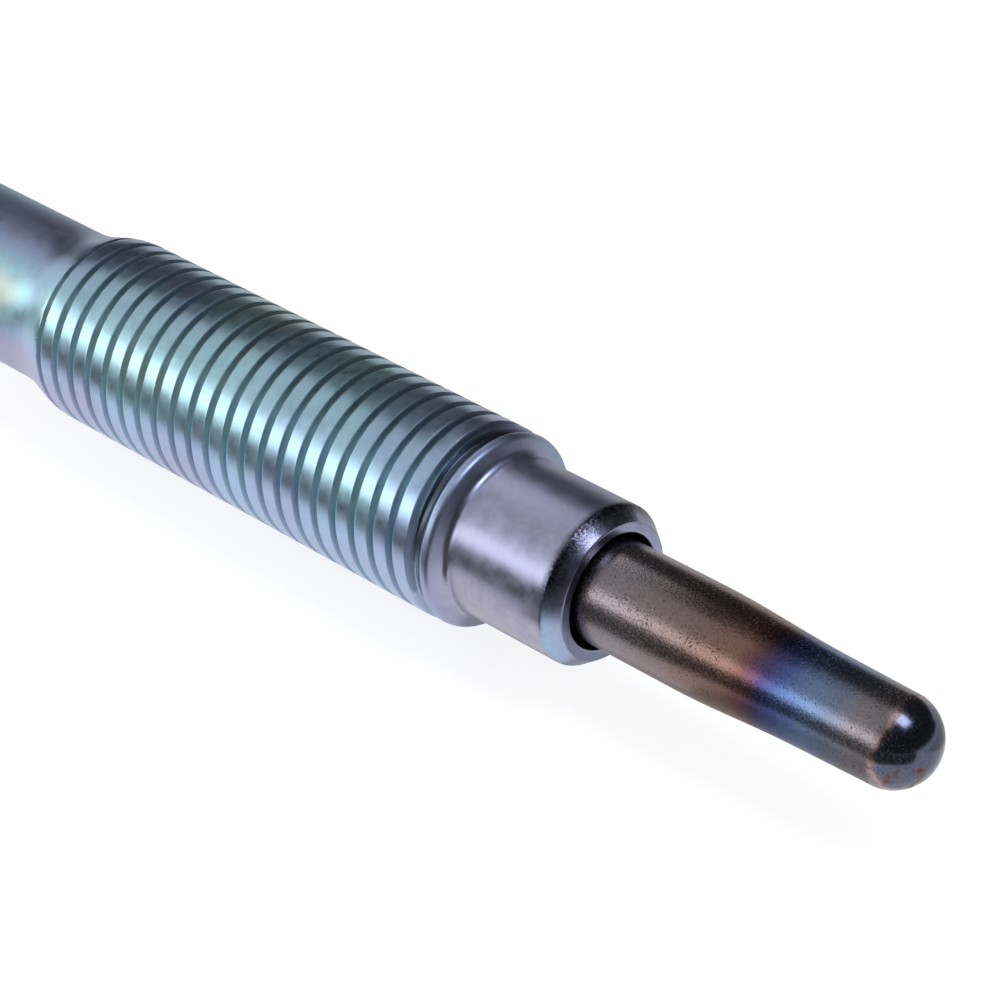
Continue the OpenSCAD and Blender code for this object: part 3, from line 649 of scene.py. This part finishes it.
# %% Bevel the washer
washer = bpy.data.objects.new("split_washer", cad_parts["spring_washer"].data.copy())
bpy.context.scene.collection.objects.link(washer)
made = bmesh.new()
made.from_mesh(washer.data)
bmesh.ops.remove_doubles(made, verts=made.verts, dist=0.002 * MM)
bmesh.ops.dissolve_limit(made, angle_limit=math.radians(1), verts=made.verts, edges=made.edges)
sharp_edges = [e for e in made.edges if e.is_manifold and e.calc_face_angle() > math.radians(40)]
bmesh.ops.bevel(made, geom=sharp_edges, offset=0.07 * MM, segments=2, affect="EDGES", profile=0.5)
made.to_mesh(washer.data)
made.free()
washer.data.materials.clear()
washer.data.materials.append(spring)
close_up(washer)
settle(washer, "spring_washer")

# %% [markdown]
# ## Insulating bush
# A moulded bush keeps the live stud off the shell. Phenolic moulding is a hard, dark brown plastic with a soft gloss,
# and its filler shows as faint paler flecks. The bush is a turned outline with a flange, and a hole for the stud.

# %% Phenolic moulding
phenolic, tree, shader = new_finish("moulded_phenolic", Metallic=0.0, IOR=1.6)
where = add(tree, "ShaderNodeTexCoord").outputs["Object"]
cloud = add(tree, "ShaderNodeTexNoise", {"Vector": where, "Scale": per_mm(2.2), "Detail": 3.0})
fleck = add(tree, "ShaderNodeTexNoise", {"Vector": where, "Scale": per_mm(0.25), "Detail": 1.0})
tone = add(tree, "ShaderNodeValToRGB", {0: cloud.outputs[0]}, stops=[(0.3, "#2b1d17"), (0.7, "#3a281f")])
flecked = add(tree, "ShaderNodeMapRange", {0: fleck.outputs[0], 1: 0.62, 2: 0.74, 3: 0.0, 4: 0.35})
toned = add(tree, "ShaderNodeMix", {0: flecked, 6: tone.outputs[0], 7: linear("#6a5141")}, data_type="RGBA")
tree.links.new(toned.outputs[2], shader.inputs["Base Color"])
dull = add(tree, "ShaderNodeMapRange", {0: cloud.outputs[0], 1: 0.25, 2: 0.75, 3: 0.34, 4: 0.46})
tree.links.new(dull.outputs[0], shader.inputs["Roughness"])
skin = add(tree, "ShaderNodeBump", {"Strength": 0.2, "Distance": 0.01 * MM, "Height": fleck.outputs[0]})
tree.links.new(skin.outputs[0], shader.inputs["Normal"])
print("phenolic moulding:", len(tree.nodes), "nodes")

# %% Turn the bush
SLEEVE_R, FLANGE_R, FLANGE_THICK = 3.3, 4.5, 2.0
bush_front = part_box("insulating_bush")[1].x / MM
bush_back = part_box("insulating_bush")[0].x / MM
flange = bush_back + FLANGE_THICK
rows = eased([(bush_front, 2.5, 0), (bush_front, SLEEVE_R, 0.1), (flange, SLEEVE_R, 0.05), (flange, FLANGE_R, 0.12),
              (bush_back + 0.3, FLANGE_R, 0.08), (bush_back, 4.2, 0.08), (bush_back, HOLE_R, 0.12),
              (bush_front, HOLE_R, 0.1), (bush_front, 2.3, 0)])
bush = turned("bush_body", rows, EVEN)
bush.data.materials.append(phenolic)
close_up(bush)
settle(bush, "insulating_bush")

# %% [markdown]
# ## Finishes for what is inside
# The coils, the powder round them and the two rubber rings keep their CAD shapes, because nobody sees them in a whole
# plug. A buyer who opens the model still should, so each gets the finish of its real material: drawn resistance wire,
# pressed magnesia, and black rubber.

# %% Wire, powder and rubber
def inner_finish(name, spot_mm, stops, rough, bump_mm, **constants):
    """A finish of one cloudy tone with a grain of the given size."""
    material, tree, shader = new_finish(name, **constants)
    where = add(tree, "ShaderNodeTexCoord").outputs["Object"]
    spot = add(tree, "ShaderNodeTexNoise", {"Vector": where, "Scale": per_mm(spot_mm), "Detail": 3.0})
    tone = add(tree, "ShaderNodeValToRGB", {0: spot.outputs[0]}, stops=stops)
    dull = add(tree, "ShaderNodeMapRange", {0: spot.outputs[0], 1: 0.25, 2: 0.75, 3: rough - 0.06, 4: rough + 0.06})
    bump = add(tree, "ShaderNodeBump", {"Strength": 0.3, "Distance": bump_mm * MM, "Height": spot.outputs[0]})
    for made, socket in ((tone, "Base Color"), (dull, "Roughness"), (bump, "Normal")):
        tree.links.new(made.outputs[0], shader.inputs[socket])
    return material


wire = inner_finish("drawn_resistance_wire", 0.15, [(0.3, "#6f6f72"), (0.7, "#8e8d8a")], 0.35, 0.004, Metallic=1.0)
powder = inner_finish("pressed_magnesia", 0.3, [(0.3, "#e2dfd6"), (0.7, "#f1efe9")], 0.9, 0.02, Metallic=0.0)
rubber = inner_finish("moulded_black_rubber", 0.4, [(0.3, "#171717"), (0.7, "#232323")], 0.6, 0.01, Metallic=0.0)
for node, finish in (("heating_coil", wire), ("control_coil", wire), ("magnesia_fill", powder),
                     ("tube_seal", rubber), ("o_ring", rubber)):
    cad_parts[node].data.materials.clear()
    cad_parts[node].data.materials.append(finish)
    print(node, "is", finish.name)

# %% [markdown]
# ## The studio
# Polished metal has hardly any look of its own: it shows the room. So the room is set as for a catalogue photograph.
# The floor and the surroundings are white. A long soft box lights the plug from the front left, and a small lamp
# from above. Black cards give the dark lines along the metal that make it look round, and paler ones set the tones
# between. The cards are seen only in reflections. The white comes from the floor's own colour and from the rays that
# see it, not from more light on the plug, and a soft shadow stays.

# %% White surroundings and paper
scene = bpy.context.scene
scene.view_settings.view_transform = "Standard"
WHITE = linear("#ffffff")
ROOM_LIGHT, PAPER_GLOW = 0.55, 0.76


def rays_that_see(tree):
    """1 for rays that show the stage, straight or in a reflection, and 0 for those that only carry its light."""
    ray = add(tree, "ShaderNodeLightPath").outputs
    seen = add(tree, "ShaderNodeMath", {0: ray["Is Camera Ray"], 1: ray["Is Glossy Ray"]}, operation="MAXIMUM")
    return add(tree, "ShaderNodeMath", {0: seen, 1: ray["Is Transmission Ray"]}, operation="MAXIMUM")


world = bpy.data.worlds.new("white_room")
scene.world = world
world.use_nodes = True
tree = world.node_tree
tree.nodes.clear()
level = add(tree, "ShaderNodeMapRange", {0: rays_that_see(tree), 3: ROOM_LIGHT, 4: 1.0})
air = add(tree, "ShaderNodeBackground", {0: WHITE, 1: level})
add(tree, "ShaderNodeOutputWorld", {0: air})

paper, tree, shader = new_finish("white_paper")
tree.nodes.remove(shader)
level = add(tree, "ShaderNodeMath", {0: rays_that_see(tree), 1: PAPER_GLOW}, operation="MULTIPLY")
own = add(tree, "ShaderNodeEmission", {0: WHITE, 1: level})
lit = add(tree, "ShaderNodeBsdfDiffuse", {0: linear("#b8b8b8")})
both = add(tree, "ShaderNodeAddShader", {0: own, 1: lit})
tree.links.new(both.outputs[0], tree.nodes["Material Output"].inputs["Surface"])
print("the room gives light of", ROOM_LIGHT, "and the paper shows a glow of", PAPER_GLOW)

# %% Lay the floor
def sheet(name, corners, material):
    """A flat sheet through corners in metres, which is part of the stage."""
    mesh = bpy.data.meshes.new(name)
    mesh.from_pydata(corners, [], [tuple(range(len(corners)))])
    mesh.materials.append(material)
    made = bpy.data.objects.new(name, mesh)
    scene.collection.objects.link(made)
    return made


def in_mm(*corners):
    """Corners in metres, from places in mm."""
    return [tuple(c * MM for c in corner) for corner in corners]


FLOOR_Z, FLOOR_HALF = -6.0, 6000
sheet("floor", in_mm((-FLOOR_HALF, -FLOOR_HALF, FLOOR_Z), (FLOOR_HALF, -FLOOR_HALF, FLOOR_Z),
                     (FLOOR_HALF, FLOOR_HALF, FLOOR_Z), (-FLOOR_HALF, FLOOR_HALF, FLOOR_Z)), paper)
print("floor at", FLOOR_Z, "mm")

# %% Shapes of the cards
def strip(low, high, back, front, away):
    """Corners of a strip along the plug, between two angles round the axis from +Y, this far away in metres."""
    a, b = [(away * math.cos(math.radians(t)), away * math.sin(math.radians(t))) for t in (low, high)]
    return [(back, *a), (front, *a), (front, *b), (back, *b)]


def round_card(middle, half, low, high, away):
    """Corners of an upright card on a ring round the tip: its middle and half width in degrees from +X, its heights
    in degrees above the floor, and its distance in metres."""
    ring = [[away * math.cos(math.radians(middle + s * half)), away * math.sin(math.radians(middle + s * half))]
            for s in (-1, 1)]
    low, high = [away * math.tan(math.radians(t)) for t in (low, high)]
    return [(*ring[0], low), (*ring[1], low), (*ring[1], high), (*ring[0], high)]


OVERHEAD, LIFT = 34, 0.3


def level_card(back, front, right, left):
    """Corners of a level card overhead, from places in mm."""
    return in_mm(*((x, y, OVERHEAD) for x, y in ((back, right), (front, right), (front, left), (back, left))))


def laid(*corners):
    """Corners of a card that lies just above the floor, from places in mm."""
    return in_mm(*((x, y, FLOOR_Z + LIFT) for x, y in corners))


def card_finish(level):
    """Card that looks this bright in a mirror, where white is 1."""
    card, tree, shader = new_finish(f"card_{round(level * 100)}")
    tree.nodes.remove(shader)
    glow = add(tree, "ShaderNodeEmission", {0: WHITE, 1: level})
    tree.links.new(glow.outputs[0], tree.nodes["Material Output"].inputs["Surface"])
    return card


print("level cards hang", OVERHEAD, "mm above the plug's axis")

# %% Set up the cards
CARDS = [
    # Black, high behind the plug, and pale, high in front: the dark back of its top and the middle tone before it.
    ("card_above", strip(7, 80, -1.5, 1.0, 0.7), 0.045),
    ("card_sky", strip(82, 147, -1.5, 0.2, 0.8), 0.7),
    # A black strip just under the soft box: the dark line below the highlight.
    ("card_low", strip(174, 183, -1.6, 0.3, 0.62), 0.06),
    # Black, round the camera and to the right of it: the dark round end of the tube.
    ("card_camera", round_card(-40, 44, 0, 58, 0.45), 0.05),
    ("card_right", round_card(38, 34, 1, 48, 0.5), 0.05),
    # Black, on the floor in front, with a bay beside the nose: the dark lower side of the tube.
    ("card_floor", laid((-600, -15), (-12, -15), (-9, -13), (-7, -9), (-1, -9), (1, -13), (25, -13), (32, -3),
                        (300, -3), (300, -500), (-600, -500)), 0.10),
    # Grey, on the floor behind: it keeps the back of the plug from being lost in the white.
    ("card_back", laid((-600, 500), (-600, 11), (60, 11), (60, 500)), 0.65),
    # Bright, overhead: the glint on top of the nose. The two black ones keep it off the tube and the thread.
    ("card_nose", level_card(-31, -21.5, -1.5, 18.5), 2.2),
    ("card_tube", level_card(-20.5, -4, -4.5, 15), 0.05),
    ("card_thread", in_mm((-15, 14, 14.5), (-15, -3, 14.5), (-33, -3, 34.5), (-33, 30, 34.5)), 0.05),
    # Grey, on the floor under the plug: a painted shadow of the plug, which gives its underside a softer tone in
    # reflections.
    ("card_shade", laid((-40, 5), (-40, -2), (4, -2), (4, -10), (14, -10), (14, 5)), 0.5)]
for name, corners, level in CARDS:
    card = sheet(name, corners, card_finish(level))
    card.visible_camera = card.visible_diffuse = card.visible_shadow = card.visible_transmission = False
print("cards:", len(CARDS))

# %% Hang the lamps
def lamp(name, middle, wide, high, strength, colour):
    """A soft box in metres that faces the plug. Strength is how bright it looks in a mirror, where white is 1."""
    made = bpy.data.objects.new(name, bpy.data.lights.new(name, "AREA"))
    scene.collection.objects.link(made)
    made.location = middle
    made.rotation_euler = (-made.location).to_track_quat("-Z", "Y").to_euler()
    made.data.shape = "RECTANGLE"
    made.data.size, made.data.size_y = wide, high
    made.data.color = linear(colour)[:3]
    made.data.energy = strength * math.pi * wide * high
    print(name, round(made.data.energy, 2), "W")


LAMP_AWAY = 0.6
BOX_ALONG, BOX_ANGLE = -0.43, math.radians(161)
TOP_TOWARDS = (0.39, 0.03, 0.92)
lamp("soft_box", (BOX_ALONG, LAMP_AWAY * math.cos(BOX_ANGLE), LAMP_AWAY * math.sin(BOX_ANGLE)), 1.0, 0.24, 1.6,
     "#ffffff")
lamp("top_lamp", [c * LAMP_AWAY for c in TOP_TOWARDS], 0.24, 0.26, 5.5, "#e8f0ff")
